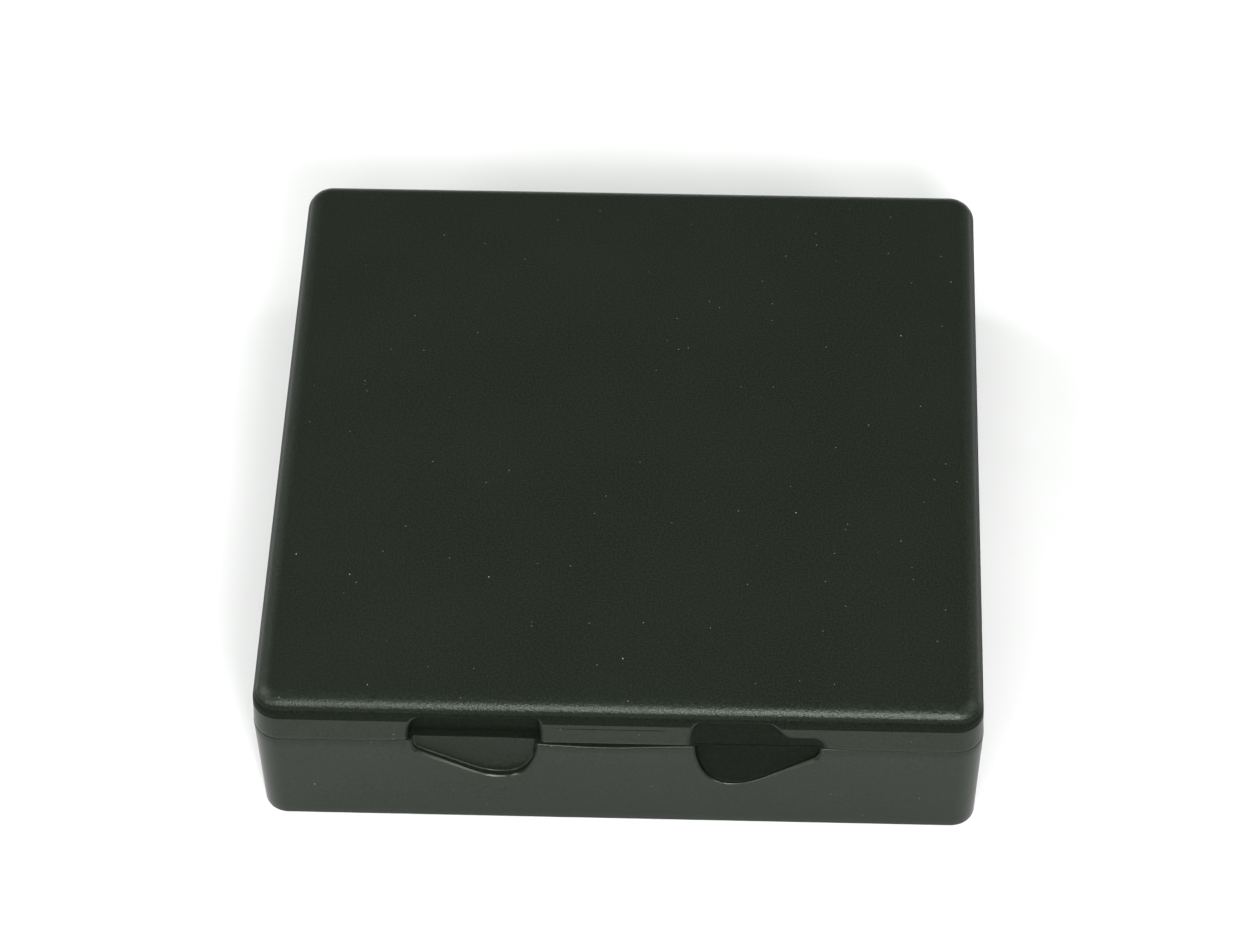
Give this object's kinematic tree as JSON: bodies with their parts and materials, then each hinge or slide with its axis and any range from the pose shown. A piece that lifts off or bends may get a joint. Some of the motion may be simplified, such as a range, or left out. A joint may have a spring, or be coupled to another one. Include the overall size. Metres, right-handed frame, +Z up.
{
  "type": "watch demagnetizer in a hinged case",
  "caption": "Flat square black moulded case with a rear-hinged lid and wing-shaped finger grips, holding a battery coil demagnetizer for watches under a deck.",
  "frame": {"origin": "middle of the underside of the case body, on the surface it stands on", "axes": "+X to the right seen from the grip side, +Y back towards the hinge, +Z up"},
  "size_m": [0.104, 0.1078, 0.0255],
  "materials": {
    "case_black": "fine spark-eroded grain on the lid, smoother satin walls",
    "deck_grey": "fine matt grain",
    "nylon": "satin natural nylon",
    "foam": "open-cell foam",
    "felt": "short felt",
    "button_red": "satin gloss",
    "lamp_red": "clear tinted resin",
    "board_green": "solder mask",
    "part_black": "moulded epoxy",
    "lead_red": "insulated wire",
    "lead_black": "insulated wire",
    "cell_jacket": "plain jacket",
    "capacitor_sleeve": "shrink sleeve",
    "ferrite": "sintered ferrite",
    "steel": "zinc plated",
    "copper": "enamelled copper wire",
    "nickel": "nickel plated"
  },
  "bodies": {
    "base": {"base_shell": "case_black", "hinge_pin_left": "steel", "hinge_pin_right": "steel", "deck_plate": "deck_grey", "deck_screw_1": "steel", "deck_screw_2": "steel", "deck_screw_3": "steel", "deck_screw_4": "steel", "button_spring": "steel", "switch_body": "part_black", "indicator_lamp": "lamp_red", "coil_bobbin": "nylon", "coil_winding": "copper", "well_pad": "felt", "circuit_board": "board_green", "board_screw_1": "steel", "board_screw_2": "steel", "capacitor_1": "capacitor_sleeve", "capacitor_2": "capacitor_sleeve", "transformer_core": "ferrite", "transformer_winding": "copper", "power_transistor": "part_black", "battery_cell_1": "cell_jacket", "battery_cell_2": "cell_jacket", "battery_contact_front_1": "nickel", "battery_contact_front_2": "nickel", "battery_contact_back": "nickel", "battery_spring_1": "nickel", "battery_spring_2": "nickel", "coil_lead_1": "lead_red", "coil_lead_2": "lead_black", "battery_lead_1": "lead_black", "battery_lead_2": "lead_red"},
    "lid": {"lid_shell": "case_black", "lid_foam_pad": "foam"},
    "button": {"push_button": "button_red"},
    "door": {"battery_door": "case_black"}
  },
  "joints": [
    {"name": "lid_hinge", "type": "hinge", "parent": "base", "child": "lid", "pos_m": [0, 0.0529, 0.018], "axis": [-1, 0, 0], "range_deg": [0, 180]},
    {"name": "button_press", "type": "slide", "parent": "base", "child": "button", "axis": [0, 0, -1], "range_m": [0, 0.0016], "stiffness_N_per_m": 400, "springref_m": -0.0006, "deforming": ["button_spring"]},
    {"name": "door_slide", "type": "slide", "parent": "base", "child": "door", "axis": [0, 1, 0], "range_m": [0, 0.048]}
  ]
}
